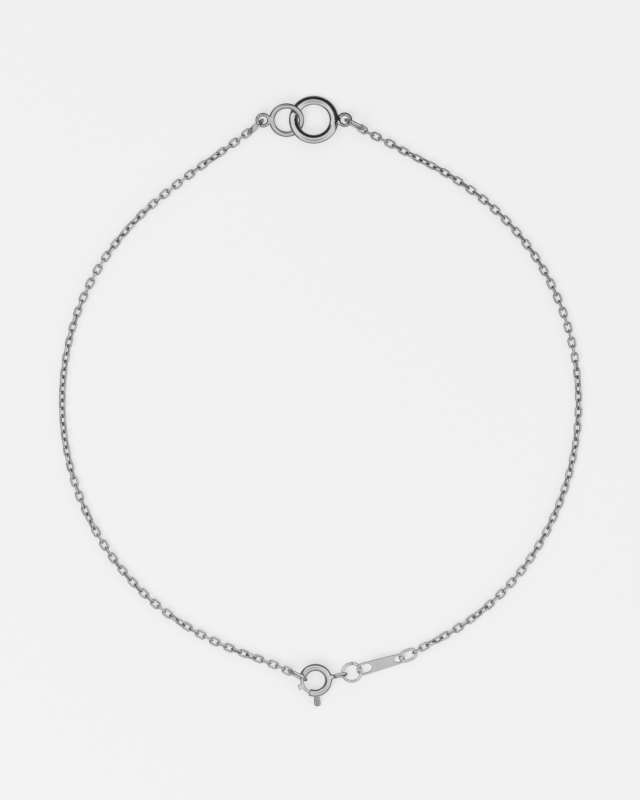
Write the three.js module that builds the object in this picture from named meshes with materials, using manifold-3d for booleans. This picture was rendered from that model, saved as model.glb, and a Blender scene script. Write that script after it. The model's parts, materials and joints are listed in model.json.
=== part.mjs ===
// A fine silver link bracelet, lying as a whole loop on a surface.
// Two plain rings are linked through one another at the middle (+Y side), and a spring-ring clasp with
// a small bare tag closes the loop at the -Y side. Millimetres, +Z up, the surface at z = 0.
// Each long stretch of chain is an eight-sided bar of the chain's outer size, with true links at its ends.

import * as THREE from 'three';
import { mergeVertices } from 'three/addons/utils/BufferGeometryUtils.js';
import Module from 'manifold-3d';

const wasm = await Module();
wasm.setup();

// ---------------------------------------------------------------- driving dimensions, mm and degrees

// Cable chain: oval links of round wire, each turned a quarter turn from the last.
const LINK = { wire: 0.25, wide: 1.0, pitch: 0.936, around: 10, sides: 6 };
const LINK_OVERLAP = 0.05;
const REAL_LINKS_AT_EACH_END = 3;

// The bar starts this share of a pitch past the middle of the last true link, and ends in the same way.
const BAR = { start: 0.3, sides: 8, steps: 38 };

// The two plain rings. Each is tipped about X, one each way, so that they pass through one another.
const LARGE_RING = { x: -0.744, y: 33.58, radius: 2.45, wide: 1.08, high: 0.62, tip: -13 };
const SMALL_RING = { x: -4.0, y: 33.53, radius: 1.78, wide: 0.65, high: 0.42, tip: 21 };
const RING_HEIGHT = 0.88;
const RING_AROUND = 48;
const RING_SIDES = 12;
const EYELET = { radius: 0.71, wide: 0.41, high: 0.33, sunk: 0.18, around: 20, sides: 8 };

// Round jump rings: the two by the eyelets, the one at the clasp, and the one that holds the tag.
const JUMP_WIRE = 0.33;
const JUMP_AROUND = 24;
const JUMP_SIDES = 8;
const EYELET_JUMP_RADIUS = 1.185;
const CLASP_JUMP_RADIUS = 1.185;
const TAG_JUMP_RADIUS = 1.135;
const LARGE_JUMP = { offset: 1.28, heading: -27, roll: 84 };
const SMALL_JUMP = { offset: 1.21, heading: 223.5, roll: 77 };
const CLASP_JUMP = { x: -2.71, y: -32.945, heading: -28, roll: 79 };

// Spring-ring clasp: angles run anticlockwise from +X about the clasp's own axis.
const CLASP = { x: -0.564, y: -33.59, z: 0.87, tipX: -10.6, tipY: 4.8 };
const TUBE = { radius: 1.6, wire: 0.84, mouth: 245, end: 522, step: 7.7, sides: 12 };
const BORE = { wide: 0.54, overshoot: 8, sides: 10 };
const SLOT = { from: 240, to: 354, inner: 1.75, outer: 2.3, high: 0.34 };
const BOLT = { wire: 0.35, from: 159, to: 290, step: 7.5, sides: 8 };
const BLADE_HIGH = 0.24;
const LUG = { angle: 204, long: 0.6, inner: 1.6, outer: 2.22 };
const TRIGGER = { angle: 275, neck: 0.34, root: 2.08, shoulder: 2.85, tip: 3.2, wide: 0.78, high: 0.36 };
const PADDLE = { rootWide: 0.64, cornerWide: 0.43, cornerReach: 3.15 };
const RIDGE = { from: 2.14, to: 3.08, wide: 0.22, high: 0.5 };
const CLASP_EYE = { angle: 10.5, lean: 30, reach: 3.03, long: 1.82, tall: 1.3, wire: 0.3, around: 16, sides: 8 };
const SOLDER = { reach: 2.08, radius: 0.3, around: 12, sides: 8 };

// Tag: a flat tapered plate with an oval hole at each end. Its face is bare.
const TAG = { x: 4.4, y: -32.47, heading: 15.8, roll: 30, long: 5.98, thick: 0.2 };
const TAG_ENDS = { leftHeight: 0.65, rightHeight: 0.5, leftRadius: 0.86, rightRadius: 0.69 };
const LEFT_HOLE = { from: 0.28, long: 1.62, wide: 1.24 };
const RIGHT_HOLE = { wall: 0.24, long: 1.12, wide: 0.94 };
const TAG_JUMP = { x: 3.83, y: -32.65, z: 0.66, heading: 15, pitch: -2, roll: -24 };
const TAG_LINK = { long: 2.3, wide: 1.6, z: 0.523, heading: 23, pitch: -1, roll: -24.2, around: 20 };
const TAG_LINK_TIP_FROM_END = 0.53;

// Routes of the chain: polar angle about the origin, distance from it and height of the chain's middle.
const RIGHT_ROUTE = [
  { angle: 82.0, radius: 33.08, height: 0.85 },
  { angle: 80.2, radius: 32.62, height: 0.62 },
  { angle: 77.5, radius: 32.22, height: 0.5 },
  { angle: 70.0, radius: 31.35, height: 0.5 },
  { angle: 60.0, radius: 31.05, height: 0.5 },
  { angle: 30.0, radius: 31.0, height: 0.5 },
  { angle: 0.0, radius: 31.0, height: 0.5 },
  { angle: -25.0, radius: 31.3, height: 0.5 },
  { angle: -42.0, radius: 31.7, height: 0.5 },
  { angle: -54.0, radius: 31.9, height: 0.5 },
  { angle: -63.0, radius: 32.0, height: 0.5 },
  { angle: -67.0, radius: 32.1, height: 0.5 },
  { angle: -69.83, radius: 32.32, height: 0.5 },
];
const LEFT_ROUTE = [
  { angle: 104.45, radius: 33.34, height: 0.85 },
  { angle: 106.4, radius: 32.9, height: 0.62 },
  { angle: 109.0, radius: 32.4, height: 0.5 },
  { angle: 114.0, radius: 31.7, height: 0.5 },
  { angle: 124.0, radius: 31.0, height: 0.5 },
  { angle: 139.0, radius: 30.85, height: 0.5 },
  { angle: 152.0, radius: 30.9, height: 0.5 },
  { angle: 180.0, radius: 30.9, height: 0.5 },
  { angle: 207.0, radius: 31.1, height: 0.5 },
  { angle: 230.0, radius: 31.4, height: 0.5 },
  { angle: 252.0, radius: 31.7, height: 0.5 },
  { angle: 258.0, radius: 32.0, height: 0.52 },
  { angle: 261.5, radius: 32.4, height: 0.66 },
  { angle: 264.1, radius: 32.86, height: 0.9 },
];
const RIGHT_LINKS = { count: 89, startRoll: 0, endRoll: 90 };
const LEFT_LINKS = { count: 93, startRoll: 0, endRoll: 0 };

// ---------------------------------------------------------------- materials

const SILVER = { metalness: 1, roughness: 0.16 };
const ringSilver = new THREE.MeshStandardMaterial({ color: 0xe6e6e4, ...SILVER });
const chainSilver = new THREE.MeshStandardMaterial({ color: 0xdededd, ...SILVER });
const claspSilver = new THREE.MeshStandardMaterial({ color: 0xd6d6d6, ...SILVER });
const tagSilver = new THREE.MeshStandardMaterial({ color: 0xd2d2d2, metalness: 1, roughness: 0.3 });

// ---------------------------------------------------------------- solids and shapes

const WELD = 1e-4;
const Z_AXIS = new THREE.Vector3(0, 0, 1);
const radians = THREE.MathUtils.degToRad;

function solidOf(geometry) {
  const bare = geometry.clone();
  bare.deleteAttribute('normal');
  bare.deleteAttribute('uv');
  const welded = mergeVertices(bare, WELD);
  const vertProperties = new Float32Array(welded.attributes.position.array);
  const triVerts = new Uint32Array(welded.index.array);
  return new wasm.Manifold(new wasm.Mesh({ numProp: 3, vertProperties, triVerts }));
}

function geometryOf(solid) {
  const mesh = solid.getMesh();
  const geometry = new THREE.BufferGeometry();
  geometry.setAttribute('position', new THREE.BufferAttribute(new Float32Array(mesh.vertProperties), 3));
  geometry.setIndex(new THREE.BufferAttribute(new Uint32Array(mesh.triVerts), 1));
  geometry.computeVertexNormals();
  return geometry;
}

function polar(radius, degrees, z = 0) {
  return new THREE.Vector3(radius * Math.cos(radians(degrees)), radius * Math.sin(radians(degrees)), z);
}

// A whole ring about Z. Its section is an oval, and no corner of it lies on the Y axis.
function ring({ radius, wide, high = wide, around, sides }) {
  const section = [];
  for (let i = 0; i <= sides; i += 1) {
    const turn = 2 * Math.PI * (i / sides);
    section.push(new THREE.Vector2(radius + (wide / 2) * Math.cos(turn), (high / 2) * Math.sin(turn)));
  }
  const geometry = new THREE.LatheGeometry(section, around, Math.PI / around);
  return geometry.rotateX(Math.PI / 2);
}

// Pulls a ring's two halves apart along X into an oval link with straight sides.
function pulledAlongX(geometry, length) {
  const points = geometry.attributes.position;
  for (let i = 0; i < points.count; i += 1) {
    points.setX(i, points.getX(i) + (Math.sign(points.getX(i)) * length) / 2);
  }
  return geometry;
}

function ovalLink({ long, wide, wire, around, sides }) {
  const round = ring({ radius: (wide - wire) / 2, wide: wire, around, sides });
  return pulledAlongX(round, long - wide);
}

function polygon(radius, sides) {
  const corners = [];
  for (let i = 0; i < sides; i += 1) {
    const turn = (2 * Math.PI * (i + 0.5)) / sides;
    corners.push(new THREE.Vector2(radius * Math.cos(turn), radius * Math.sin(turn)));
  }
  return new THREE.Shape(corners);
}

class FlatArc extends THREE.Curve {
  constructor(radius, from, to) {
    super();
    this.radius = radius;
    this.from = from;
    this.to = to;
  }

  getPoint(t) {
    return polar(this.radius, this.from + (this.to - this.from) * t);
  }
}

// A bent bar in the XY plane, round about the circle of the given radius.
function bentBar({ radius, wire, from, to, step, sides }) {
  const extrudePath = new FlatArc(radius, from, to);
  const steps = Math.round((to - from) / step);
  return new THREE.ExtrudeGeometry(polygon(wire / 2, sides), { extrudePath, steps, bevelEnabled: false });
}

// A flat piece cut from an outline in the XY plane, centred on z = 0.
function plate(outline, high) {
  const settings = { depth: high, bevelEnabled: false, curveSegments: 12 };
  return new THREE.ExtrudeGeometry(outline, settings).translate(0, 0, -high / 2);
}

// ---------------------------------------------------------------- placing

function named(name, geometry, material) {
  const mesh = new THREE.Mesh(geometry, material);
  mesh.name = name;
  return mesh;
}

// Sets a piece down: heading about Z first, then pitch (nose up) and roll about its own length.
function set(mesh, { x, y, z, heading = 0, pitch = 0, roll = 0 }) {
  mesh.position.set(x, y, z);
  mesh.rotation.order = 'ZYX';
  mesh.rotation.set(radians(roll), radians(-pitch), radians(heading));
  return mesh;
}

// ---------------------------------------------------------------- the two linked rings

// A plain ring with its eyelet soldered on at the given side (+1 for +X, -1 for -X).
function ringWithEyelet(size, side) {
  const eyeletRadius = EYELET.radius + EYELET.wide / 2;
  const reach = size.radius + size.wide / 2 + eyeletRadius - EYELET.sunk;
  const body = ring({ ...size, around: RING_AROUND, sides: RING_SIDES });
  const eyelet = ring(EYELET);
  eyelet.translate(side * reach, 0, 0);
  return { geometry: geometryOf(solidOf(body).add(solidOf(eyelet))), reach: side * reach };
}

function tippedRing(name, size, made) {
  const mesh = named(name, made.geometry, ringSilver);
  return set(mesh, { x: size.x, y: size.y, z: RING_HEIGHT, roll: size.tip });
}

const largeMade = ringWithEyelet(LARGE_RING, 1);
const smallMade = ringWithEyelet(SMALL_RING, -1);
const largeRing = tippedRing('large_ring', LARGE_RING, largeMade);
const smallRing = tippedRing('small_ring', SMALL_RING, smallMade);

// ---------------------------------------------------------------- jump rings

function jumpRing(name, radius, place) {
  const geometry = ring({ radius, wide: JUMP_WIRE, around: JUMP_AROUND, sides: JUMP_SIDES });
  return set(named(name, geometry, ringSilver), place);
}

// The height of a ring's middle when it is rolled up on its edge and touches the surface.
function standingHeight(radius, roll) {
  return radius * Math.sin(radians(roll)) + JUMP_WIRE / 2;
}

// Stands on its edge, with one side of its wire inside an eyelet of the two rings.
function eyeletJumpRing(name, size, made, { offset, heading, roll }) {
  const at = new THREE.Vector3(size.x + made.reach, size.y, 0).add(polar(offset, heading));
  const z = standingHeight(EYELET_JUMP_RADIUS, roll);
  return jumpRing(name, EYELET_JUMP_RADIUS, { x: at.x, y: at.y, z, heading, roll });
}

const largeJump = eyeletJumpRing('large_ring_jump_ring', LARGE_RING, largeMade, LARGE_JUMP);
const smallJump = eyeletJumpRing('small_ring_jump_ring', SMALL_RING, smallMade, SMALL_JUMP);

const claspJumpZ = standingHeight(CLASP_JUMP_RADIUS, CLASP_JUMP.roll);
const claspJump = jumpRing('clasp_jump_ring', CLASP_JUMP_RADIUS, { ...CLASP_JUMP, z: claspJumpZ });
const tagJump = jumpRing('tag_jump_ring', TAG_JUMP_RADIUS, TAG_JUMP);

// ---------------------------------------------------------------- clasp

// A flat block across the clasp's plane, from one distance to another along a direction.
function radialBlock({ angle, inner, outer, wide, high }) {
  const block = new THREE.BoxGeometry(outer - inner, wide, high);
  block.translate((outer + inner) / 2, 0, 0);
  return block.rotateZ(radians(angle));
}

// A flat band between two radii and two angles, used to cut the slot.
function arcBand({ from, to, inner, outer, high }) {
  const outline = new THREE.Shape();
  outline.absarc(0, 0, outer, radians(from), radians(to), false);
  outline.absarc(0, 0, inner, radians(to), radians(from), true);
  outline.closePath();
  return plate(outline, high);
}

function claspBody() {
  const shell = bentBar({ ...TUBE, from: TUBE.mouth, to: TUBE.end });
  const boreEnds = { from: TUBE.mouth - BORE.overshoot, to: TUBE.end + BORE.overshoot };
  const bore = bentBar({ ...TUBE, ...boreEnds, wire: BORE.wide, sides: BORE.sides });
  const eye = ovalLink({ ...CLASP_EYE, wide: CLASP_EYE.tall });
  eye.rotateX(radians(90 - CLASP_EYE.lean));
  eye.translate(CLASP_EYE.reach, 0, 0);
  eye.rotateZ(radians(CLASP_EYE.angle));
  const solder = new THREE.SphereGeometry(SOLDER.radius, SOLDER.around, SOLDER.sides);
  solder.translate(SOLDER.reach, 0, 0);
  solder.rotateZ(radians(CLASP_EYE.angle));
  const solid = solidOf(shell).add(solidOf(solder)).subtract(solidOf(bore)).subtract(solidOf(arcBand(SLOT)));
  return geometryOf(solid.add(solidOf(eye)));
}

// The thumb trigger: a paddle that narrows to a blunt point, with a raised ridge down its middle.
function triggerPaddle() {
  const outline = new THREE.Shape();
  outline.moveTo(TRIGGER.root, -PADDLE.rootWide / 2);
  outline.lineTo(TRIGGER.shoulder, -TRIGGER.wide / 2);
  outline.quadraticCurveTo(PADDLE.cornerReach, -PADDLE.cornerWide / 2, TRIGGER.tip, 0);
  outline.quadraticCurveTo(PADDLE.cornerReach, PADDLE.cornerWide / 2, TRIGGER.shoulder, TRIGGER.wide / 2);
  outline.lineTo(TRIGGER.root, PADDLE.rootWide / 2);
  outline.closePath();
  return plate(outline, TRIGGER.high);
}

function claspBolt() {
  const wire = solidOf(bentBar({ ...BOLT, radius: TUBE.radius }));
  const neckSize = { angle: TRIGGER.angle, inner: TUBE.radius, outer: RIDGE.from, wide: TRIGGER.neck };
  const neck = solidOf(radialBlock({ ...neckSize, high: BLADE_HIGH }));
  const lug = solidOf(radialBlock({ ...LUG, wide: LUG.long, high: BLADE_HIGH }));
  const paddle = solidOf(triggerPaddle().rotateZ(radians(TRIGGER.angle)));
  const ridge = solidOf(radialBlock({ ...RIDGE, angle: TRIGGER.angle, inner: RIDGE.from, outer: RIDGE.to }));
  return geometryOf(wire.add(neck).add(lug).add(paddle).add(ridge));
}

const clasp = new THREE.Group();
clasp.add(named('clasp_body', claspBody(), claspSilver));
clasp.add(named('clasp_bolt', claspBolt(), claspSilver));
clasp.position.set(CLASP.x, CLASP.y, CLASP.z);
clasp.rotation.set(radians(-CLASP.tipX), radians(CLASP.tipY), 0);

// ---------------------------------------------------------------- tag and its link

function ovalHole(from, long, wide) {
  const hole = new THREE.Path();
  const radius = wide / 2;
  hole.absarc(from + radius, 0, radius, Math.PI / 2, 1.5 * Math.PI, false);
  hole.absarc(from + long - radius, 0, radius, -Math.PI / 2, Math.PI / 2, false);
  hole.closePath();
  return hole;
}

function tagPlate() {
  const { leftRadius, rightRadius } = TAG_ENDS;
  const rightX = TAG.long - rightRadius;
  const lean = Math.asin((leftRadius - rightRadius) / (rightX - leftRadius));
  const top = Math.PI / 2 - lean;
  const outline = new THREE.Shape();
  outline.absarc(leftRadius, 0, leftRadius, top, 2 * Math.PI - top, false);
  outline.absarc(rightX, 0, rightRadius, -top, top, false);
  outline.closePath();
  const rightFrom = TAG.long - RIGHT_HOLE.wall - RIGHT_HOLE.long;
  outline.holes.push(ovalHole(LEFT_HOLE.from, LEFT_HOLE.long, LEFT_HOLE.wide));
  outline.holes.push(ovalHole(rightFrom, RIGHT_HOLE.long, RIGHT_HOLE.wide));
  return plate(outline, TAG.thick);
}

const tagRise = (TAG_ENDS.rightHeight - TAG_ENDS.leftHeight) / TAG.long;
const tagPitch = THREE.MathUtils.radToDeg(Math.asin(tagRise));
const tag = named('tag', tagPlate(), tagSilver);
set(tag, { ...TAG, z: TAG_ENDS.leftHeight, pitch: tagPitch });

// The link's near tip lies inside the tag's right hole.
const tagLinkReach = (TAG_LINK.long - JUMP_WIRE) / 2;
const tagLinkAt = new THREE.Vector3(TAG.x, TAG.y, 0)
  .add(polar(TAG.long - TAG_LINK_TIP_FROM_END, TAG.heading))
  .add(polar(tagLinkReach, TAG_LINK.heading));
const tagLink = named('tag_link', ovalLink({ ...TAG_LINK, wire: JUMP_WIRE, sides: JUMP_SIDES }), ringSilver);
set(tagLink, { ...TAG_LINK, x: tagLinkAt.x, y: tagLinkAt.y });

// ---------------------------------------------------------------- chain strands

const LINK_LONG = LINK.pitch + 2 * LINK.wire - LINK_OVERLAP;
const LINK_REACH = (LINK_LONG - LINK.wire) / 2;

// Follows its rows smoothly, bending in the polar sense so that a stretch of equal radius is round.
class StrandRoute extends THREE.Curve {
  constructor(rows) {
    super();
    this.rows = rows;
    this.arcLengthDivisions = 1000;
    const path = rows.map((row) => new THREE.Vector3(row.angle, row.radius, row.height));
    this.polarPath = new THREE.CatmullRomCurve3(path);
  }

  getPoint(t) {
    const at = this.polarPath.getPoint(t);
    return polar(at.y, at.x, at.z);
  }
}

// Turns X to the chain's direction and Z to the link's flat side, rolled about the chain.
function linkMatrix(point, along, roll) {
  const side = new THREE.Vector3().crossVectors(Z_AXIS, along).normalize();
  const up = new THREE.Vector3().crossVectors(along, side).normalize();
  const turned = new THREE.Matrix4().makeBasis(along, side, up).setPosition(point);
  return turned.multiply(new THREE.Matrix4().makeRotationX(radians(roll)));
}

function strand(rows, { count, startRoll, endRoll }) {
  const route = new StrandRoute(rows);
  const length = route.getLength();
  const spacing = (length - 2 * LINK_REACH) / (count - 1);
  const shareOf = (index) => (LINK_REACH + index * spacing) / length;
  const pieces = [];
  for (let i = 0; i < count; i += 1) {
    if (i < REAL_LINKS_AT_EACH_END || i >= count - REAL_LINKS_AT_EACH_END) {
      const point = route.getPointAt(shareOf(i));
      const along = route.getTangentAt(shareOf(i));
      const endTurn = i < REAL_LINKS_AT_EACH_END ? startRoll : endRoll;
      const quarterTurn = i % 2 === 0 ? 0 : 90;
      const link = ovalLink({ ...LINK, long: LINK_LONG });
      pieces.push(link.applyMatrix4(linkMatrix(point, along, endTurn + quarterTurn)));
    }
  }
  const barFrom = shareOf(REAL_LINKS_AT_EACH_END - 1 + BAR.start);
  const barTo = shareOf(count - REAL_LINKS_AT_EACH_END - BAR.start);
  const barPoints = [];
  for (let i = 0; i <= BAR.steps; i += 1) {
    barPoints.push(route.getPointAt(barFrom + ((barTo - barFrom) * i) / BAR.steps));
  }
  const extrudePath = new THREE.CatmullRomCurve3(barPoints);
  const section = polygon(LINK.wide / 2, BAR.sides);
  pieces.push(new THREE.ExtrudeGeometry(section, { extrudePath, steps: BAR.steps, bevelEnabled: false }));
  const solids = pieces.map(solidOf);
  return geometryOf(solids.reduce((whole, solid) => whole.add(solid)));
}

// ---------------------------------------------------------------- the bracelet

const bracelet = new THREE.Group();
bracelet.add(largeRing, smallRing, largeJump, smallJump);
bracelet.add(named('right_chain', strand(RIGHT_ROUTE, RIGHT_LINKS), chainSilver));
bracelet.add(named('left_chain', strand(LEFT_ROUTE, LEFT_LINKS), chainSilver));
bracelet.add(claspJump, clasp, tagJump, tag, tagLink);

export default bracelet;
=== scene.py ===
# The looks of a fine silver link bracelet that lies as a whole loop on a pale surface.
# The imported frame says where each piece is. Sizes are in millimetres down to the floor, light and camera,
# and MM turns them into metres.
import json
import math

import bpy
import numpy as np
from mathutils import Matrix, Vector


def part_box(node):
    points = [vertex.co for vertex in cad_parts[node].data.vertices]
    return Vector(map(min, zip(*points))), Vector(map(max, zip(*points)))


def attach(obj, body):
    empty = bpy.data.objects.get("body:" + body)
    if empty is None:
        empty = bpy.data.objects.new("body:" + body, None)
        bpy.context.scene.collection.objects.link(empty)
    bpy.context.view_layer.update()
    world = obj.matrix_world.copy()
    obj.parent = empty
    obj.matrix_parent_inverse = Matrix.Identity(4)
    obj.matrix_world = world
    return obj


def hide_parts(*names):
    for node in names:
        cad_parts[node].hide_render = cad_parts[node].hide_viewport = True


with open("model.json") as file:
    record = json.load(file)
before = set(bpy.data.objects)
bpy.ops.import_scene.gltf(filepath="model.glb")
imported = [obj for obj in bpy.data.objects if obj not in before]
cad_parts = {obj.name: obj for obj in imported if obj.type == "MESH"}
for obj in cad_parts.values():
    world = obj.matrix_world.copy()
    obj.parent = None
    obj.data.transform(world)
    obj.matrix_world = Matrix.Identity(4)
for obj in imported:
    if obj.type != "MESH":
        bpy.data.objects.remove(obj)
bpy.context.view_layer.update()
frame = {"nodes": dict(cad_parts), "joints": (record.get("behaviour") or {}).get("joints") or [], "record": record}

MM = 0.001
rng = np.random.default_rng(7)

# ---------------------------------------------------------------- sizes

# Cable chain: oval links of round wire, each turned a quarter turn from the last. Each also rolls and yaws
# by itself, by up to the spreads in degrees, and by less in the last few links of a strand.
LINK = {"wire": 0.25, "wide": 1.0, "long": 1.444}
LINK_AROUND = 28
LINK_SIDES = 12
LINK_ROLL_SPREAD = 1.5
LINK_YAW_SPREAD = 0.6
STEADY_LINKS = 4

# BAR_HEIGHT is how high a strand's middle lies where its links stand upright. Where it twists they lean and
# it lies lower, by an average over SETTLING_LINKS, an odd number. LINK_CLEARANCE keeps it off the ground.
BAR_HEIGHT = 0.5
SETTLING_LINKS = 7
LINK_CLEARANCE = 0.05

# A strand's route: polar angle, distance from the origin, height of the chain's middle.
RIGHT_ROUTE = (
    (82.0, 33.08, 0.85),
    (80.2, 32.62, 0.62),
    (77.5, 32.22, 0.5),
    (70.0, 31.35, 0.5),
    (60.0, 31.05, 0.5),
    (30.0, 31.0, 0.5),
    (0.0, 31.0, 0.5),
    (-25.0, 31.3, 0.5),
    (-42.0, 31.7, 0.5),
    (-54.0, 31.9, 0.5),
    (-63.0, 32.0, 0.5),
    (-67.0, 32.1, 0.5),
    (-69.83, 32.32, 0.5),
)
LEFT_ROUTE = (
    (104.45, 33.34, 0.85),
    (106.4, 32.9, 0.62),
    (109.0, 32.4, 0.5),
    (114.0, 31.7, 0.5),
    (124.0, 31.0, 0.5),
    (139.0, 30.85, 0.5),
    (152.0, 30.9, 0.5),
    (180.0, 30.9, 0.5),
    (207.0, 31.1, 0.5),
    (230.0, 31.4, 0.5),
    (252.0, 31.7, 0.5),
    (258.0, 32.0, 0.52),
    (261.5, 32.4, 0.66),
    (264.1, 32.86, 0.9),
)
RIGHT_LINKS = 89
LEFT_LINKS = 93

# How far each strand is twisted about its own length: polar angle, and the roll of its links there, in
# degrees. At 0 or 180 the first, third and fifth links lie flat, and at 90 or 270 those between them do.
RIGHT_TWIST = (
    (76.0, 0),
    (71.5, 28),
    (67.0, 43),
    (62.5, 36),
    (57.0, 22),
    (50.0, 14),
    (44.0, 18),
    (33.0, 20),
    (17.0, 5),
    (12.5, 0),
    (10.0, 14),
    (4.0, 47),
    (-1.0, 62),
    (-5.0, 68),
    (-10.5, 52),
    (-15.0, 64),
    (-28.0, 66),
    (-41.0, 82),
    (-48.0, 90),
    (-54.0, 45),
    (-58.5, 4),
    (-59.5, 5),
    (-68.5, 90),
)
LEFT_TWIST = (
    (109.0, 0),
    (114.0, 46),
    (119.0, 84),
    (128.0, 92),
    (134.0, 116),
    (140.0, 138),
    (147.0, 174),
    (153.0, 180),
    (161.0, 200),
    (178.0, 222),
    (189.0, 219),
    (196.0, 204),
    (202.5, 180),
    (212.0, 264),
    (214.0, 268),
    (219.0, 250),
    (226.0, 246),
    (233.0, 265),
    (242.0, 351),
    (244.0, 358),
    (249.0, 350),
    (255.0, 322),
    (259.5, 356),
    (261.0, 360),
)

# The two plain rings, each tipped about X by some degrees, with a soldered eyelet on one side (1 for +X).
LARGE_RING = {"radius": 2.437, "wide": 1.08, "high": 0.616, "tip": -13, "side": 1}
SMALL_RING = {"radius": 1.776, "wide": 0.65, "high": 0.42, "tip": 21, "side": -1}
EYELET = {"radius": 0.705, "wide": 0.41, "high": 0.33, "sunk": 0.18}
SOLDER_FILLET = 0.16

# Jump rings of round wire, cut once where they were opened. JUMP_CUTS says where, in degrees about each
# one's own axis. The CAD rings have 24 sides, and a true circle fits inside them.
JUMP_WIRE = 0.32
JUMP_AROUND = 72
JUMP_SIDES = 20
JUMP_CUT = 0.03
JUMP_CUTS = {
    "large_ring_jump_ring": 70,
    "small_ring_jump_ring": 115,
    "clasp_jump_ring": 60,
    "tag_jump_ring": 100,
}
CAD_RING_SIDES = 24
SHARP_DEGREES = 50

# Spring-ring clasp: angles run anticlockwise from the clasp's own X about the joint's axis.
TUBE = {"radius": 1.6, "wire": 0.84, "bore": 0.54, "mouth": 245, "end": 162}
SLOT = {"from": 240, "to": 354, "inner": 1.75, "high": 0.34}
BOLT = {"wire": 0.35, "from": 159, "to": 290}
LUG = {"angle": 204, "long": 0.6, "inner": 1.6, "outer": 2.22, "high": 0.24}
TRIGGER = {
    "angle": 275,
    "neck": 0.34,
    "root": 2.08,
    "shoulder": 2.85,
    "tip": 3.2,
    "root_wide": 0.64,
    "wide": 0.78,
    "high": 0.36,
}
RIDGE = {"from": 2.14, "to": 3.08, "wide": 0.22, "high": 0.5}
CLASP_EYE = {"angle": 10.5, "lean": 30, "reach": 3.03, "long": 1.82, "tall": 1.3, "wire": 0.3}
SOLDER = {"reach": 2.08, "radius": 0.3}

# How far the edges of the tube and of the bolt are rounded.
LIP = 0.05
BOLT_EDGE = 0.05

# The room that the clasp's eye and its bolt need, from the clasp's middle outwards.
CLASP_EYE_END = 4.0
BOLT_LEFT = 2.4
BOLT_RIGHT = 1.2
BOLT_HALF_HIGH = 0.3

# Tag: a flat tapered plate with an oval hole at each end, and the oval link beyond it.
TAG = {"long": 5.98, "thick": 0.2, "left": 0.86, "right": 0.69, "face_from_left": 3.2}
LEFT_HOLE = {"from": 0.28, "long": 1.62, "wide": 1.24}
RIGHT_HOLE = {"from": 4.62, "long": 1.12, "wide": 0.94}
TAG_BEVEL = 0.06
TAG_LINK = {"wire": 0.32, "wide": 1.59, "long": 2.29}

# How fine the sculpted meshes are: the edge of the cells that a shape is sampled in.
RING_CELL = 0.055
CLASP_CELL = 0.036
TAG_CELL = 0.045

# ---------------------------------------------------------------- places, from the frame


class Place:
    """A piece's own axes in the row frame: its origin in millimetres, and X, Y, Z as a matrix's columns."""

    def __init__(self, origin, axes):
        self.origin = np.array(origin, float)
        self.axes = np.array(axes, float)

    def world(self, points):
        return (self.origin + points @ self.axes.T) * MM


def unit(vector):
    return np.array(vector, float) / np.linalg.norm(vector)


def node_points(node):
    """A CAD node's vertices in millimetres."""
    vertices = frame["nodes"][node].data.vertices
    return np.array([v.co for v in vertices], float) / MM


def own_axes(node):
    """A flat piece's place, read from its vertices: X along it towards +X, Z across it and up."""
    points = np.unique(np.round(node_points(node), 5), axis=0)
    centre = (points.max(0) + points.min(0)) / 2
    _, directions = np.linalg.eigh(np.cov((points - points.mean(0)).T))
    across, _, along = directions.T
    along = along * math.copysign(1, along[0])
    across = across * math.copysign(1, across[2])
    return Place(centre, np.column_stack([along, np.cross(across, along), across]))


def tipped_ring_place(node, size):
    """A ring tipped about X. Its eyelet sticks out at one side, so the other side gives the centre."""
    low, high = (np.array(corner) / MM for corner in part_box(node))
    outer = size["radius"] + size["wide"] / 2
    x = low[0] + outer if size["side"] > 0 else high[0] - outer
    turn = math.radians(size["tip"])
    axes = [[1, 0, 0], [0, math.cos(turn), -math.sin(turn)], [0, math.sin(turn), math.cos(turn)]]
    return Place([x, (low[1] + high[1]) / 2, (low[2] + high[2]) / 2], axes)


def clasp_place():
    """The clasp's middle and its own Z, from the bolt's joint."""
    joint = frame["joints"][0]
    axis = unit(joint["axis"])
    y_axis = unit(np.cross(axis, [1, 0, 0]))
    return Place(np.array(joint["pos_m"]) / MM, np.column_stack([np.cross(y_axis, axis), y_axis, axis]))


def tag_place():
    """The tag's left end, from its bare face's mount and its own long axis."""
    mount = frame["record"]["mounts"][0]
    normal = unit(mount["axis"])
    along = own_axes("tag").axes[:, 0]
    along = unit(along - normal * (along @ normal))
    face = np.array(mount["pos_m"]) / MM
    origin = face - along * TAG["face_from_left"] - normal * TAG["thick"] / 2
    return Place(origin, np.column_stack([along, np.cross(normal, along), normal]))


# ---------------------------------------------------------------- meshes


def mesh_piece(name, points, faces, normals=None, marks=None):
    """A smooth mesh object. marks are named numbers, one for each point, that its material reads."""
    mesh = bpy.data.meshes.new(name)
    mesh.from_pydata(points.tolist(), [], [tuple(int(i) for i in face) for face in faces])
    mesh.shade_smooth()
    for key, values in (marks or {}).items():
        mesh.attributes.new(key, "FLOAT", "POINT").data.foreach_set("value", values.astype(np.float32))
    if normals is not None:
        mesh.normals_split_custom_set_from_vertices(normals.tolist())
    piece = bpy.data.objects.new(name, mesh)
    bpy.context.scene.collection.objects.link(piece)
    return piece


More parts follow.
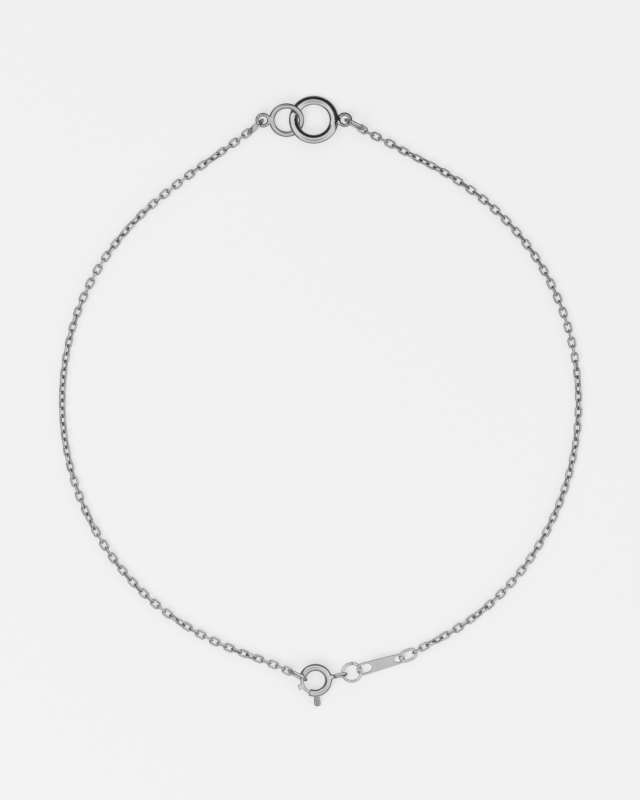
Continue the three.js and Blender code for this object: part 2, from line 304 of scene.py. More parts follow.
def tube(middle, outward, across, radius, sides, closed=True):
    """Points and faces of round wire along a flat path. outward and across are unit vectors at each place."""
    count = len(middle)
    turns = 2 * np.pi * np.arange(sides) / sides
    cosine = np.cos(turns)[None, :, None]
    sine = np.sin(turns)[None, :, None]
    points = middle[:, None] + radius * (cosine * outward[:, None] + sine * across[:, None])
    rows = count if closed else count - 1
    i, k = np.meshgrid(np.arange(rows), np.arange(sides), indexing="ij")
    after, beside = (i + 1) % count, (k + 1) % sides
    corners = [i * sides + k, after * sides + k, after * sides + beside, i * sides + beside]
    faces = [tuple(face) for face in np.stack(corners, -1).reshape(-1, 4)]
    return points.reshape(-1, 3), faces


def oval_link(size, around, sides):
    """Points and faces of an oval link of round wire, lying in its own XY plane with its length along X."""
    half = np.linspace(-90, 90, around // 2 + 1)
    turns = np.radians(np.concatenate([half, half + 180]))
    outward = np.column_stack([np.cos(turns), np.sin(turns), 0 * turns])
    middle = (size["wide"] - size["wire"]) / 2 * outward
    middle[:, 0] += np.repeat([1, -1], len(half)) * (size["long"] - size["wide"]) / 2
    across = np.tile([0.0, 0.0, 1.0], (len(middle), 1))
    return tube(middle, outward, across, size["wire"] / 2, sides)


# ---------------------------------------------------------------- shapes as distances to a surface


def lengths(*parts):
    """The length of each vector, from its parts."""
    return np.sqrt(sum(part**2 for part in parts))


def joined(a, b, fillet):
    """Both shapes, with a fillet where they meet."""
    share = np.clip(0.5 + 0.5 * (b - a) / fillet, 0, 1)
    return b + (a - b) * share - fillet * share * (1 - share)


def common(a, b, rounding):
    """Where both shapes are, with a rounded edge."""
    return -joined(-a, -b, rounding)


def without(a, b, rounding):
    """The first shape less the second, with a rounded edge."""
    return common(a, -b, rounding)


def ring_distance(p, radius, wide, high):
    """A whole ring about Z with an oval section."""
    u = lengths(p[..., 0], p[..., 1]) - radius
    half_wide, half_high = wide / 2, high / 2
    scaled = lengths(u / half_wide, p[..., 2] / half_high)
    slope = lengths(u / half_wide**2, p[..., 2] / half_high**2)
    return scaled * (scaled - 1) / np.maximum(slope, 1e-9)


def turned(p, degrees):
    """The points seen along a direction in the XY plane: its own length, side and height."""
    turn = math.radians(degrees)
    x = p[..., 0] * math.cos(turn) + p[..., 1] * math.sin(turn)
    y = p[..., 1] * math.cos(turn) - p[..., 0] * math.sin(turn)
    return x, y, p[..., 2]


def beyond(p, degrees):
    """Distance past a half plane through Z, on its anticlockwise side."""
    return turned(p, degrees)[1]


def arc_wedge(p, start, end):
    """Less than zero between two angles, anticlockwise."""
    if (end - start) % 360 > 180:
        return -arc_wedge(p, end, start)
    return np.maximum(-beyond(p, start), beyond(p, end))


def oval_wire_distance(along, side, across, size, wide):
    """Round wire bent to an oval in the (along, side) plane."""
    straight = (size["long"] - wide) / 2
    spread = lengths(np.maximum(np.abs(along) - straight, 0), side)
    return lengths(spread - (wide - size["wire"]) / 2, across) - size["wire"] / 2


def oval_distance(x, y, start, long, wide):
    """A flat oval with straight sides, from start along X."""
    middle = start + long / 2
    past = np.maximum(np.abs(x - middle) - (long - wide) / 2, 0)
    return lengths(past, y) - wide / 2


def ring_with_eyelet(size):
    """A plain ring and its eyelet: its distance, and the low and high corners of its box."""
    eyelet_outer = EYELET["radius"] + EYELET["wide"] / 2
    reach = size["side"] * (size["radius"] + size["wide"] / 2 + eyelet_outer - EYELET["sunk"])

    def distance(p):
        body = ring_distance(p, size["radius"], size["wide"], size["high"])
        eyelet = ring_distance(p - [reach, 0, 0], EYELET["radius"], EYELET["wide"], EYELET["high"])
        return joined(body, eyelet, SOLDER_FILLET)

    outer = size["radius"] + size["wide"] / 2
    far = abs(reach) + eyelet_outer
    low = [-outer if size["side"] > 0 else -far, -outer, -size["high"] / 2]
    high = [far if size["side"] > 0 else outer, outer, size["high"] / 2]
    return distance, low, high


def clasp_body():
    """The clasp's hollow tube with its mouth, its slot and the oval eye that is soldered on."""
    lean = math.radians(CLASP_EYE["lean"])

    def distance(p):
        rho = lengths(p[..., 0], p[..., 1])
        middle = lengths(rho - TUBE["radius"], p[..., 2])
        shell = middle - TUBE["wire"] / 2
        x, y, z = turned(p, CLASP_EYE["angle"])
        ball = lengths(x - SOLDER["reach"], y, z) - SOLDER["radius"]
        shell = joined(shell, ball, SOLDER_FILLET)
        shell = common(shell, arc_wedge(p, TUBE["mouth"], TUBE["end"]), LIP)
        shell = without(shell, middle - TUBE["bore"] / 2, LIP)
        slot = np.maximum(np.abs(p[..., 2]) - SLOT["high"] / 2, SLOT["inner"] - rho)
        slot = np.maximum(slot, arc_wedge(p, SLOT["from"], SLOT["to"]))
        shell = without(shell, slot, LIP / 2)
        tall = z * math.cos(lean) + y * math.sin(lean)
        across = y * math.cos(lean) - z * math.sin(lean)
        eye = oval_wire_distance(x - CLASP_EYE["reach"], tall, across, CLASP_EYE, CLASP_EYE["tall"])
        return joined(shell, eye, LIP)

    outer = TUBE["radius"] + TUBE["wire"] / 2
    high = CLASP_EYE["tall"] / 2
    return distance, [-outer, -outer, -high], [CLASP_EYE_END, outer, high]


def block_distance(x, y, z, inner, outer, wide, high, rounding):
    """A block along X with rounded edges."""
    a = np.abs(x - (inner + outer) / 2) - (outer - inner) / 2 + rounding
    b = np.abs(y) - wide / 2 + rounding
    c = np.abs(z) - high / 2 + rounding
    outside = lengths(np.maximum(a, 0), np.maximum(b, 0), np.maximum(c, 0))
    return outside + np.minimum(np.maximum(np.maximum(a, b), c), 0) - rounding


def clasp_bolt():
    """The bolt's curved wire, the lug at its mouth end, and the ridged trigger on a neck through the slot."""
    edge = BOLT_EDGE

    def distance(p):
        rho = lengths(p[..., 0], p[..., 1])
        wire = lengths(rho - TUBE["radius"], p[..., 2]) - BOLT["wire"] / 2
        wire = common(wire, arc_wedge(p, BOLT["from"], BOLT["to"]), 2 * edge)
        x, y, z = turned(p, LUG["angle"])
        lug = block_distance(x, y, z, LUG["inner"], LUG["outer"], LUG["long"], LUG["high"], edge)
        x, y, z = turned(p, TRIGGER["angle"])
        neck = block_distance(x, y, z, TUBE["radius"], RIDGE["from"], TRIGGER["neck"], LUG["high"], edge)
        share = (x - TRIGGER["root"]) / (TRIGGER["shoulder"] - TRIGGER["root"])
        half = (TRIGGER["root_wide"] + (TRIGGER["wide"] - TRIGGER["root_wide"]) * np.clip(share, 0, 1)) / 2
        point = np.clip((x - TRIGGER["shoulder"]) / (TRIGGER["tip"] - TRIGGER["shoulder"]), 0, 1)
        half = half * np.sqrt(np.maximum(1 - point**2, 0))
        sides = common(np.abs(y) - half, TRIGGER["root"] - x, 2 * edge)
        sides = common(sides, x - TRIGGER["tip"], 2 * edge)
        paddle = common(sides, np.abs(z) - TRIGGER["high"] / 2, 2 * edge)
        ridge = block_distance(x, y, z, RIDGE["from"], RIDGE["to"], RIDGE["wide"], RIDGE["high"], edge)
        trigger = joined(joined(paddle, ridge, edge), neck, edge)
        return joined(joined(wire, lug, edge), trigger, edge)

    low = [-BOLT_LEFT, -TRIGGER["tip"] - edge, -BOLT_HALF_HIGH]
    return distance, low, [BOLT_RIGHT, BOLT_RIGHT, BOLT_HALF_HIGH]


def tag_plate():
    """The tag from its left end along X, half round at both ends and straight between them."""

    def distance(p):
        x, y, z = p[..., 0], p[..., 1], p[..., 2]
        reach = TAG["long"] - TAG["left"] - TAG["right"]
        lean = (TAG["left"] - TAG["right"]) / reach
        rise = math.sqrt(1 - lean**2)
        along, side = x - TAG["left"], np.abs(y)
        slide = np.clip((along * rise - side * lean) / rise / reach, 0, 1)
        outline = lengths(along - slide * reach, side) - (TAG["left"] + (TAG["right"] - TAG["left"]) * slide)
        for hole in (LEFT_HOLE, RIGHT_HOLE):
            opening = oval_distance(x, y, hole["from"], hole["long"], hole["wide"])
            outline = without(outline, opening, TAG_BEVEL / 2)
        return common(outline, np.abs(z) - TAG["thick"] / 2, TAG_BEVEL)

    return distance, [0, -TAG["left"], -TAG["thick"] / 2], [TAG["long"], TAG["left"], TAG["thick"] / 2]


def slope_of(distance, points):
    """The direction in which the distance grows, by small steps either way."""
    step = 1e-4
    slopes = []
    for axis in np.eye(3) * step:
        slopes.append((distance(points + axis) - distance(points - axis)) / (2 * step))
    return np.stack(slopes, axis=-1)


# A cell's corners are numbered 0 to 7 by the bits of X, Y and Z, and an edge joins two that differ in one.
CELL_EDGES = [(a, b) for a in range(8) for b in range(8) if b > a and bin(a ^ b).count("1") == 1]

# The grid starts and ends a few cells outside the box. Neither is a whole number, so that a flat face
# doesn't lie on a row of corners.
CELLS_BEFORE = 2.3
CELLS_AFTER = 2.7

# How often a point is pulled to the surface, how far at once in cells, and the least slope it trusts.
PULLS = 6
LONGEST_PULL = 0.4
LEAST_SLOPE = 0.05


def surface_of(distance, low, high, cell):
    """The closed surface where the distance is zero, from a point in each cell that it crosses. The points
    are then pulled onto it, and the normals are those of the shape itself."""
    axes = [np.arange(a - CELLS_BEFORE * cell, b + CELLS_AFTER * cell, cell) for a, b in zip(low, high)]
    value = distance(np.stack(np.meshgrid(*axes, indexing="ij"), axis=-1))
    corners = [
        value[i : value.shape[0] - 1 + i, j : value.shape[1] - 1 + j, k : value.shape[2] - 1 + k]
        for i in (0, 1)
        for j in (0, 1)
        for k in (0, 1)
    ]
    inside = sum((corner < 0).astype(int) for corner in corners)
    crossed = (inside > 0) & (inside < 8)
    number = np.full(crossed.shape, -1)
    number[crossed] = np.arange(crossed.sum())
    place = np.argwhere(crossed)
    total = np.zeros((len(place), 3))
    count = np.zeros(len(place))
    for a, b in CELL_EDGES:
        va, vb = corners[a][crossed], corners[b][crossed]
        cut = (va < 0) != (vb < 0)
        share = np.where(cut, va / np.where(cut, va - vb, 1), 0)[:, None]
        start = np.array([(a >> 2) & 1, (a >> 1) & 1, a & 1])
        end = np.array([(b >> 2) & 1, (b >> 1) & 1, b & 1])
        total += np.where(cut[:, None], start + share * (end - start), 0)
        count += cut
    points = np.array([axis[0] for axis in axes]) + (place + total / count[:, None]) * cell
    for _ in range(PULLS):
        slope = slope_of(distance, points)
        move = slope * (distance(points) / np.maximum((slope**2).sum(-1), LEAST_SLOPE))[:, None]
        size = np.linalg.norm(move, axis=1, keepdims=True)
        points -= move * np.minimum(1, LONGEST_PULL * cell / np.maximum(size, 1e-12))
    faces = []
    for axis in range(3):
        first, second = [a for a in range(3) if a != axis]
        ends = [slice(1, -1)] * 3
        ends[axis] = slice(0, -1)
        next_ends = list(ends)
        next_ends[axis] = slice(1, None)
        start, end = value[tuple(ends)] < 0, value[tuple(next_ends)] < 0
        for leaves in (True, False):
            at = np.argwhere(start & ~end if leaves else ~start & end)
            at[:, [first, second]] += 1
            around = []
            for back_first, back_second in ((0, 0), (1, 0), (1, 1), (0, 1)):
                cell_at = at.copy()
                cell_at[:, first] -= back_first
                cell_at[:, second] -= back_second
                around.append(number[tuple(cell_at.T)])
            quads = np.stack(around, -1)
            forward = leaves != (axis == 1)
            faces.append(quads if forward else quads[:, ::-1])
    normals = slope_of(distance, points)
    normals /= np.maximum(np.linalg.norm(normals, axis=1, keepdims=True), 1e-9)
    return points, np.concatenate(faces), normals


# Painted shade: the silver is darkened on its sides and towards one far side, where shade and dark reflections
# fall, while surfaces that face up stay bright. "upright" is its share on upright sides, which begin where a
# normal's height falls below "level". "far" is its share past a distance in mm towards a side of the piece, such
# as on an eyelet, and is less where the surface faces up.
LARGE_RING_PAINTED_SHADE = {"upright": 0.4, "level": 0.95, "far": 0.9, "past": 3.0, "towards": (1, 0)}
SMALL_RING_PAINTED_SHADE = {"upright": 0.8, "level": 1.08, "far": 0.9, "past": 2.15, "towards": (-1, 0)}
CLASP_BODY_PAINTED_SHADE = {"upright": 0.6, "level": 0.8}
BOLT_PAINTED_SHADE = {"upright": 0.5, "level": 0.8, "far": 1.4, "past": 2.1, "towards": (0.087, -0.996)}
TAG_PAINTED_SHADE = {"upright": 0.3, "level": 0.8}
UPRIGHT_FADE = 0.4
FAR_FADE = 0.2
FAR_ON_SIDES = 1.3


def painted_shade_of(points, normals, painted_shade_setting):
    """How much painted shade each point has: none at 0, and full at 1 or more."""
    height = np.abs(normals[:, 2])
    painted_shade = np.clip((painted_shade_setting["level"] - height) / UPRIGHT_FADE, 0, 1) * painted_shade_setting["upright"]
    if "far" in painted_shade_setting:
        reach = points[:, :2] @ np.array(painted_shade_setting["towards"], float)
        past = np.clip((reach - painted_shade_setting["past"]) / FAR_FADE, 0, 1) * painted_shade_setting["far"]
        painted_shade = np.maximum(painted_shade, past * (FAR_ON_SIDES - height))
    return painted_shade


def sculpted(name, shape, place, cell, painted_shade_setting):
    """A piece from its distances, in its own place."""
    distance, low, high = shape
    points, faces, normals = surface_of(distance, low, high, cell)
    # The painted shade mark, for the material to darken the silver by.
    marks = {"painted_shade": painted_shade_of(points, normals, painted_shade_setting)}
    return mesh_piece(name, place.world(points), faces, normals @ place.axes.T, marks)


# ---------------------------------------------------------------- chain

# Where a link's painted shade starts, and how soon it is full: shade is painted inside its ends, where the next
# link meets it, and along its inner side. The start and rise at its ends go by the length from its middle, those
# inside it by the depth from its tips, and its inner side by the way the wire faces.
END_START = 0.55
END_RISE = 1.6
INWARD_RISE = 3.2
INNER_SIDE_START = 0.3
INNER_SIDE_FADE = 0.6
INNER_SIDE_PAINTED_SHADE = 0.5


def strand_route(rows, samples=4000):
    """Points along a smooth curve through the rows, how far along it each is, and its polar angle.
    It is a centripetal Catmull-Rom curve, which doesn't overshoot where rows lie close together."""
    known = np.array(rows, float)
    ends = np.vstack([2 * known[0] - known[1], known, 2 * known[-1] - known[-2]])
    knots = np.sqrt(np.linalg.norm(np.diff(ends, axis=0), axis=1))
    place = np.linspace(0, len(rows) - 1, samples + 1)
    i = np.minimum(place.astype(int), len(rows) - 2)
    t = (place - i)[:, None]
    p0, p1, p2, p3 = ends[i], ends[i + 1], ends[i + 2], ends[i + 3]
    d0, d1, d2 = (knots[i + n][:, None] for n in range(3))
    leave = ((p1 - p0) / d0 - (p2 - p0) / (d0 + d1) + (p2 - p1) / d1) * d1
    arrive = ((p2 - p1) / d1 - (p3 - p1) / (d1 + d2) + (p3 - p2) / d2) * d1
    bend = 3 * (p2 - p1) - 2 * leave - arrive
    twist = 2 * (p1 - p2) + leave + arrive
    angle, radius, height = (p1 + leave * t + bend * t**2 + twist * t**3).T
    turn = np.radians(angle)
    points = np.column_stack([radius * np.cos(turn), radius * np.sin(turn), height])
    steps = np.linalg.norm(np.diff(points, axis=0), axis=1)
    return points, np.concatenate([[0], np.cumsum(steps)]), angle


def link_painted_shade(points):
    """Painted shade inside a link's ends, where the next link meets it, and less along its inner side."""
    half = LINK["long"] / 2
    to_end = np.clip(np.abs(points[:, 0]) / half * END_RISE - END_START, 0, 1)
    inward = np.clip((1 - lengths(points[:, 0], points[:, 1]) / half) * INWARD_RISE, 0, 1)
    outward = np.tile(np.cos(2 * np.pi * np.arange(LINK_SIDES) / LINK_SIDES), len(points) // LINK_SIDES)
    inner_side = np.clip((-INNER_SIDE_START - outward) / INNER_SIDE_FADE, 0, 1)
    return np.maximum(to_end * inward, inner_side * INNER_SIDE_PAINTED_SHADE)


def lowered_by(rolls):
    """How far a strand lies below its bar's height at each link, so that it rests on the ground."""
    lean = np.maximum(np.abs(np.sin(rolls)), np.abs(np.cos(rolls)))
    lean = np.pad(lean, SETTLING_LINKS // 2, mode="edge")
    lean = np.convolve(lean, np.ones(SETTLING_LINKS) / SETTLING_LINKS, "valid")
    resting = (LINK["wide"] - LINK["wire"]) / 2 * lean + LINK["wire"] / 2
    return BAR_HEIGHT - resting - LINK_CLEARANCE


def link_place(middle, along, roll, steady):
    """A link's place, rolled about its length. Its own small roll and yaw grow with steady, from 0 to 1."""
    roll += math.radians(rng.uniform(-1, 1) * LINK_ROLL_SPREAD * steady)
    side = unit(np.cross([0, 0, 1], along))
    along = unit(along + side * math.radians(rng.uniform(-1, 1) * LINK_YAW_SPREAD * steady))
    side = unit(np.cross([0, 0, 1], along))
    up = np.cross(along, side)
    own_side = math.cos(roll) * side + math.sin(roll) * up
    own_up = math.cos(roll) * up - math.sin(roll) * side
    return Place(middle, np.column_stack([along, own_side, own_up]))


def chain_strand(name, rows, count, twist):
    """Every link of a strand as one mesh, spread evenly along its route."""
    points, distance, angle = strand_route(rows)
    twist = np.array(sorted(twist), float)
    reach = (LINK["long"] - LINK["wire"]) / 2
    places = np.linspace(reach, distance[-1] - reach, count)
    rolls = np.radians(np.interp(places, distance, np.interp(angle, twist[:, 0], twist[:, 1])))
    lowered = lowered_by(rolls)
    sinking = np.gradient(lowered, places)
    slope = np.gradient(points, distance, axis=0)
    link_points, link_faces = oval_link(LINK, LINK_AROUND, LINK_SIDES)
    all_points, all_faces, tone = [], [], []
    for i, at in enumerate(places):
        middle = np.array([np.interp(at, distance, points[:, axis]) for axis in range(3)])
        middle[2] -= lowered[i]
        along = unit([np.interp(at, distance, slope[:, axis]) for axis in range(3)])
        along = unit(along - [0, 0, sinking[i]])
        from_end = min(i, count - 1 - i, STEADY_LINKS) / STEADY_LINKS
        place = link_place(middle, along, rolls[i] + math.pi / 2 * (i % 2), from_end)
        offset = i * len(link_points)
        all_points.append(place.world(link_points))
        all_faces += [tuple(corner + offset for corner in face) for face in link_faces]
        tone.append(np.full(len(link_points), rng.uniform(0, 1)))
    # Marks: painted shade at each link's ends and inner side, and a random tone for each link.
    marks = {"painted_shade": np.tile(link_painted_shade(link_points), count), "tone": np.concatenate(tone)}
    return mesh_piece(name, np.concatenate(all_points), all_faces, marks=marks)


# ---------------------------------------------------------------- jump rings


def jump_ring(name, node, cut_degrees):
    """Round wire bent to a circle, with a fine cut between its two flat ends."""
    place = own_axes(node)
    corners = np.linalg.norm(node_points(node) - place.origin, axis=1).max()
    outer = corners * math.cos(math.pi / CAD_RING_SIDES)
    radius = outer - JUMP_WIRE / 2
    gap = math.degrees(JUMP_CUT / radius)
    turns = np.radians(np.linspace(cut_degrees + gap / 2, cut_degrees + 360 - gap / 2, JUMP_AROUND))
    outward = np.column_stack([np.cos(turns), np.sin(turns), 0 * turns])
    across = np.tile([0.0, 0.0, 1.0], (JUMP_AROUND, 1))
    points, faces = tube(radius * outward, outward, across, JUMP_WIRE / 2, JUMP_SIDES, closed=False)
    last = (JUMP_AROUND - 1) * JUMP_SIDES
    faces.append(tuple(range(JUMP_SIDES)))
    faces.append(tuple(last + k for k in reversed(range(JUMP_SIDES))))
    # Painted shade: the two end faces in the cut are fully darkened.
    painted_shade = np.zeros(len(points))
    painted_shade[:JUMP_SIDES] = 1
    painted_shade[last:] = 1
    piece = mesh_piece(name, place.world(points), faces, marks={"painted_shade": painted_shade})
    piece.data.set_sharp_from_angle(angle=math.radians(SHARP_DEGREES))
    return piece


def tag_link_piece(name, node):
    """The oval link beyond the tag, soldered shut."""
    points, faces = oval_link(TAG_LINK, JUMP_AROUND // 2, JUMP_SIDES)
    return mesh_piece(name, own_axes(node).world(points), faces)


# ---------------------------------------------------------------- materials


def node_of(tree, kind, **values):
    """A new node with some of its inputs or settings set by name."""
    node = tree.nodes.new(kind)
    for key, value in values.items():
        if key in node.inputs:
            node.inputs[key].default_value = value
        else:
            setattr(node, key, value)
    return node


# The near-black grey of painted shade, which each piece's painted shade mark mixes the silver towards.
PAINTED_SHADE_GREY = (0.13, 0.125, 0.12, 1)
CLOUDS = {"Scale": 900, "Detail": 4, "Roughness": 0.6}
CLOUD_RANGE = {"From Min": 0.35, "From Max": 0.75, "To Max": 0.5}
TONE_SHARE = 0.35
POLISH = {"Scale": 2600, "Detail": 3}
POLISH_RANGE = {"From Min": 0.3, "From Max": 0.7}
SCRATCHES_PER_METRE = (1500, 14000, 14000)
SCRATCH_DEPTH = 4e-6
WAVES = {"Strength": 0.35, "Distance": 1.2e-5}


def silver(name, color, dull, gloss, rough, scratch, along=0.0):
    """Silver between a bright colour and a dull one, in clouds and from link to link, and darkened by painted
    shade where its mark says.
    Its polish is uneven, between gloss and rough. Fine scratches run at an angle of "along" degrees to X."""
    material = bpy.data.materials.new(name)
    material.use_nodes = True
    tree = material.node_tree
    link = tree.links.new
    shader = tree.nodes["Principled BSDF"]
    shader.inputs["Metallic"].default_value = 1
    where = node_of(tree, "ShaderNodeTexCoord").outputs["Object"]

    clouds = node_of(tree, "ShaderNodeTexNoise", **CLOUDS)
    link(where, clouds.inputs["Vector"])
    painted_shade = node_of(tree, "ShaderNodeAttribute", attribute_name="painted_shade")
    tone = node_of(tree, "ShaderNodeAttribute", attribute_name="tone")
    stain = node_of(tree, "ShaderNodeMapRange", **CLOUD_RANGE)
    link(clouds.outputs["Fac"], stain.inputs["Value"])
    uneven = node_of(tree, "ShaderNodeMath", operation="MULTIPLY_ADD")
    uneven.inputs[1].default_value = TONE_SHARE
    link(tone.outputs["Fac"], uneven.inputs[0])
    link(stain.outputs["Result"], uneven.inputs[2])
    shade = node_of(tree, "ShaderNodeMix", data_type="RGBA")
    shade.inputs["A"].default_value = (*color, 1)
    shade.inputs["B"].default_value = (*dull, 1)
    link(uneven.outputs["Value"], shade.inputs["Factor"])
    # Painted shade: the colour is mixed towards the near-black grey by the mark.
    painted_shade_mix = node_of(tree, "ShaderNodeMix", data_type="RGBA")
    painted_shade_mix.inputs["B"].default_value = PAINTED_SHADE_GREY
    link(shade.outputs["Result"], painted_shade_mix.inputs["A"])
    link(painted_shade.outputs["Fac"], painted_shade_mix.inputs["Factor"])
    link(painted_shade_mix.outputs["Result"], shader.inputs["Base Color"])

    polish = node_of(tree, "ShaderNodeTexNoise", **POLISH)
    link(where, polish.inputs["Vector"])
    finish = node_of(tree, "ShaderNodeMapRange", **POLISH_RANGE, **{"To Min": gloss, "To Max": rough})
    link(polish.outputs["Fac"], finish.inputs["Value"])
    link(finish.outputs["Result"], shader.inputs["Roughness"])

    heading = (0, 0, -math.radians(along))
    turn = node_of(tree, "ShaderNodeMapping", Rotation=heading, Scale=SCRATCHES_PER_METRE)
    link(where, turn.inputs["Vector"])
    lines = node_of(tree, "ShaderNodeTexNoise", Scale=1, Detail=2)
    link(turn.outputs["Vector"], lines.inputs["Vector"])
    scratches = node_of(tree, "ShaderNodeBump", Strength=scratch, Distance=SCRATCH_DEPTH)
    link(lines.outputs["Fac"], scratches.inputs["Height"])
    waves = node_of(tree, "ShaderNodeBump", **WAVES)
    link(polish.outputs["Fac"], waves.inputs["Height"])
    link(scratches.outputs["Normal"], waves.inputs["Normal"])
    link(waves.outputs["Normal"], shader.inputs["Normal"])
    return material


def dressed(piece, material, body, slot, *nodes):
    """Gives a piece its material, and puts it in the place of CAD nodes on their body."""
    piece.data.materials.append(material)
    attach(piece, body)
    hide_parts(*nodes)


ring_silver = silver(
    "ring_silver", (0.87, 0.865, 0.855), (0.68, 0.67, 0.655), gloss=0.07, rough=0.15, scratch=0.25
)
wire_silver = silver(
    "wire_silver", (0.91, 0.905, 0.895), (0.62, 0.61, 0.59), gloss=0.09, rough=0.18, scratch=0.25
)
chain_silver = silver(
    "chain_silver", (0.95, 0.945, 0.935), (0.66, 0.65, 0.64), gloss=0.08, rough=0.16, scratch=0.2
)
clasp_silver = silver(
    "clasp_silver", (0.84, 0.835, 0.83), (0.62, 0.61, 0.60), gloss=0.10, rough=0.22, scratch=0.35
)
tag_silver = silver(
    "tag_silver", (0.89, 0.89, 0.89), (0.78, 0.78, 0.77), gloss=0.24, rough=0.34, scratch=0.5, along=15.8
)

# ---------------------------------------------------------------- the bracelet

large_place = tipped_ring_place("large_ring", LARGE_RING)
large_shape = ring_with_eyelet(LARGE_RING)
large = sculpted("large_ring_polished", large_shape, large_place, RING_CELL, LARGE_RING_PAINTED_SHADE)
dressed(large, ring_silver, "bracelet", "ring_silver", "large_ring")

small_place = tipped_ring_place("small_ring", SMALL_RING)
small_shape = ring_with_eyelet(SMALL_RING)
small = sculpted("small_ring_polished", small_shape, small_place, RING_CELL, SMALL_RING_PAINTED_SHADE)
dressed(small, ring_silver, "bracelet", "ring_silver", "small_ring")

body = sculpted("clasp_tube", clasp_body(), clasp_place(), CLASP_CELL, CLASP_BODY_PAINTED_SHADE)
dressed(body, clasp_silver, "bracelet", "clasp_silver", "clasp_body")
bolt = sculpted("clasp_bolt_and_trigger", clasp_bolt(), clasp_place(), CLASP_CELL, BOLT_PAINTED_SHADE)
dressed(bolt, clasp_silver, "bolt", "clasp_silver", "clasp_bolt")
tag = sculpted("tag_plate", tag_plate(), tag_place(), TAG_CELL, TAG_PAINTED_SHADE)
dressed(tag, tag_silver, "bracelet", "tag_silver", "tag")

for node, cut_degrees in JUMP_CUTS.items():
    wire = jump_ring(node + "_wire", node, cut_degrees)
    dressed(wire, wire_silver, "bracelet", "wire_silver", node)
tag_link = tag_link_piece("tag_link_wire", "tag_link")
dressed(tag_link, wire_silver, "bracelet", "wire_silver", "tag_link")

right = chain_strand("right_chain_links", RIGHT_ROUTE, RIGHT_LINKS, RIGHT_TWIST)
dressed(right, chain_silver, "bracelet", "chain_silver", "right_chain")
left = chain_strand("left_chain_links", LEFT_ROUTE, LEFT_LINKS, LEFT_TWIST)
dressed(left, chain_silver, "bracelet", "chain_silver", "left_chain")

# ---------------------------------------------------------------- floor, light and camera

# The floor, in metres. The camera sees it by its glow, and the silver reflects its darker grey.
FLOOR_SIZE = 2.4
FLOOR_GREY = (0.3, 0.3, 0.3, 1)
FLOOR_GLOW = (0.58, 0.58, 0.58, 1)
FLOOR_SHINE = 0.1

# The camera, in metres apart from its sensor in millimetres. FRAME_TALL is what it sees from top to bottom.
CAMERA_HEIGHT = 0.55
FRAME_TALL = 0.096
SENSOR = 36.0
CLIP = (0.01, 10)

# The black card: its heading from the large ring in degrees, and its distance and size in millimetres.
FLAG = {"facing": 67, "distance": 22, "wide": 150, "high": 38}
FLAG_BLACK = (0.02, 0.02, 0.02, 1)
DULL = 0.9

# The light tent's greys, by the height of a direction: 0 at the horizon, 1 straight up. The front and the
# dim side each have a heading in degrees, and the share of it in a direction where they begin and are full.
WHITE_SIDE = ((0.0, 0.1), (0.1, 0.12), (0.25, 0.6), (0.5, 0.95), (0.93, 0.75), (0.98, 0.4))
FRONT_SIDE = ((0.0, 0.1), (0.12, 0.16), (0.3, 0.5), (0.55, 0.70), (0.93, 0.7), (0.98, 0.4))
FRONT_HEADING = (-90, 0.3, 0.7)
DIM_SIDE = ((0.0, 0.08), (0.3, 0.1), (0.62, 0.25), (0.8, 0.8), (0.93, 0.75), (0.98, 0.4))
DIM_HEADING = (182, 0.55, 0.8)
BACKDROP_GREY = (0.85, 0.85, 0.85, 1)

# The lamp's place and size in metres.
KEY_LAMP = {"place": (-0.2, -0.24, 0.5), "size": 0.5, "watts": 1.6}


def pale_floor():
    """A wide pale floor at Z 0, where the bracelet lies."""
    half = FLOOR_SIZE / 2
    points = np.array([(-half, -half, 0), (half, -half, 0), (half, half, 0), (-half, half, 0)])
    floor = mesh_piece("floor", points, [(0, 1, 2, 3)])
    material = bpy.data.materials.new("pale_floor")
    material.use_nodes = True
    shader = material.node_tree.nodes["Principled BSDF"]
    shader.inputs["Base Color"].default_value = FLOOR_GREY
    shader.inputs["Emission Color"].default_value = FLOOR_GLOW
    seen = node_of(material.node_tree, "ShaderNodeLightPath").outputs["Is Camera Ray"]
    material.node_tree.links.new(seen, shader.inputs["Emission Strength"])
    shader.inputs["Roughness"].default_value = DULL
    shader.inputs["Specular IOR Level"].default_value = FLOOR_SHINE
    floor.data.materials.append(material)


def dark_flag():
    """A black card that stands on the floor behind the two rings. Only polished silver shows it."""
    facing = math.radians(FLAG["facing"])
    away = np.array([math.cos(facing), math.sin(facing), 0]) * FLAG["distance"]
    middle = tipped_ring_place("large_ring", LARGE_RING).origin * [1, 1, 0] + away
    side = np.array([math.sin(facing), -math.cos(facing), 0]) * FLAG["wide"] / 2
    top = np.array([0, 0, FLAG["high"]])
    points = np.array([middle - side, middle + side, middle + side + top, middle - side + top]) * MM
    flag = mesh_piece("flag", points, [(0, 1, 2, 3)])
    material = bpy.data.materials.new("black_card")
    material.use_nodes = True
    shader = material.node_tree.nodes["Principled BSDF"]
    shader.inputs["Base Color"].default_value = FLAG_BLACK
    shader.inputs["Roughness"].default_value = DULL
    flag.data.materials.append(material)
    flag.visible_camera = False
    flag.visible_diffuse = False
    flag.visible_shadow = False


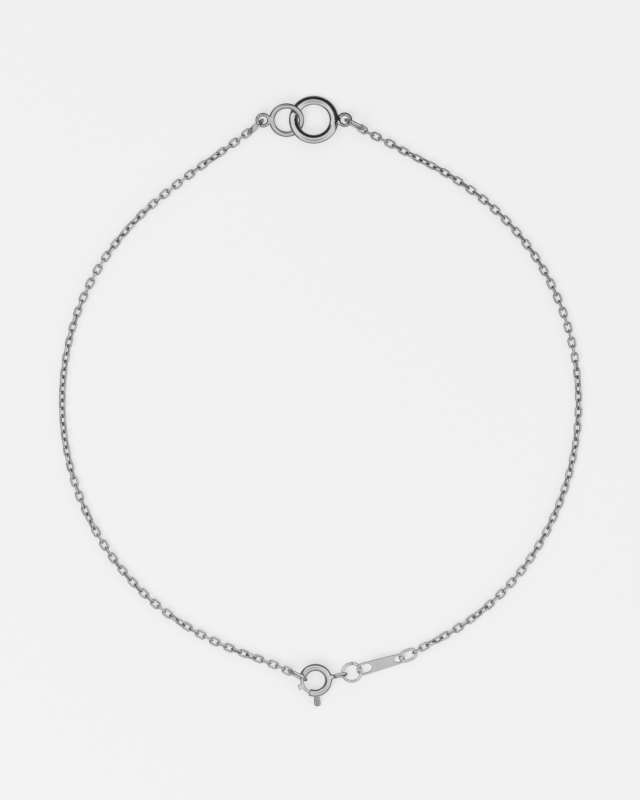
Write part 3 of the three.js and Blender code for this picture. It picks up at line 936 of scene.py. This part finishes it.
def light_tent():
    """A white tent all round, greyer overhead and dim at the floor. It is softer in front, at -Y, and
    darker on the left, at -X. The camera sees a plain pale backdrop instead."""
    world = bpy.data.worlds.new("light_tent")
    bpy.context.scene.world = world
    world.use_nodes = True
    tree = world.node_tree
    link = tree.links.new
    tree.nodes.clear()
    where = node_of(tree, "ShaderNodeTexCoord").outputs["Generated"]
    parts = node_of(tree, "ShaderNodeSeparateXYZ")
    link(where, parts.inputs["Vector"])

    def by_height(steps):
        """A grey that follows the height of a direction."""
        rise = node_of(tree, "ShaderNodeValToRGB")
        ramp = rise.color_ramp
        ramp.elements.remove(ramp.elements[0])
        ramp.elements[0].position = steps[0][0]
        for position, _ in steps[1:]:
            ramp.elements.new(position)
        for element, (_, value) in zip(ramp.elements, steps):
            element.color = (value, value, value, 1)
        link(parts.outputs["Z"], rise.inputs["Fac"])
        return rise.outputs["Color"]

    def towards(degrees, start, full):
        """One on the side that faces this way, fading to nothing on the other."""
        side = node_of(tree, "ShaderNodeVectorMath", operation="DOT_PRODUCT")
        facing = math.radians(degrees)
        side.inputs[1].default_value = (math.cos(facing), math.sin(facing), 0)
        link(where, side.inputs[0])
        spread = node_of(tree, "ShaderNodeMapRange", interpolation_type="SMOOTHSTEP")
        spread.inputs["From Min"].default_value = start
        spread.inputs["From Max"].default_value = full
        link(side.outputs["Value"], spread.inputs["Value"])
        return spread.outputs["Result"]

    def mixed(share, a, b):
        """The first grey, giving way to the second."""
        mix = node_of(tree, "ShaderNodeMix", data_type="RGBA")
        link(share, mix.inputs["Factor"])
        link(a, mix.inputs["A"])
        link(b, mix.inputs["B"])
        return mix.outputs["Result"]

    tent = mixed(towards(*FRONT_HEADING), by_height(WHITE_SIDE), by_height(FRONT_SIDE))
    tent = mixed(towards(*DIM_HEADING), tent, by_height(DIM_SIDE))

    studio = node_of(tree, "ShaderNodeBackground", Strength=1.0)
    link(tent, studio.inputs["Color"])
    backdrop = node_of(tree, "ShaderNodeBackground", Color=BACKDROP_GREY, Strength=1.0)
    seen = node_of(tree, "ShaderNodeLightPath").outputs["Is Camera Ray"]
    either = node_of(tree, "ShaderNodeMixShader")
    link(seen, either.inputs[0])
    link(studio.outputs[0], either.inputs[1])
    link(backdrop.outputs[0], either.inputs[2])
    link(either.outputs[0], node_of(tree, "ShaderNodeOutputWorld").inputs["Surface"])


def key_lamp():
    """A large soft lamp that faces the origin. It lights the floor, and the silver doesn't show it."""
    data = bpy.data.lights.new("key_lamp", "AREA")
    data.shape = "DISK"
    data.size = KEY_LAMP["size"]
    data.energy = KEY_LAMP["watts"]
    lamp = bpy.data.objects.new("key_lamp", data)
    lamp.location = KEY_LAMP["place"]
    lamp.rotation_euler = (-Vector(KEY_LAMP["place"])).to_track_quat("-Z", "Y").to_euler()
    lamp.visible_glossy = False
    bpy.context.scene.collection.objects.link(lamp)


def top_camera():
    """Straight above the bracelet, as in the photograph."""
    data = bpy.data.cameras.new("camera")
    data.sensor_width = SENSOR
    data.lens = SENSOR * CAMERA_HEIGHT / FRAME_TALL
    data.clip_start, data.clip_end = CLIP
    camera = bpy.data.objects.new("camera", data)
    camera.location = (0, 0, CAMERA_HEIGHT)
    bpy.context.scene.collection.objects.link(camera)
    bpy.context.scene.camera = camera


pale_floor()
dark_flag()
light_tent()
key_lamp()
top_camera()
bpy.context.scene.view_settings.view_transform = "Standard"
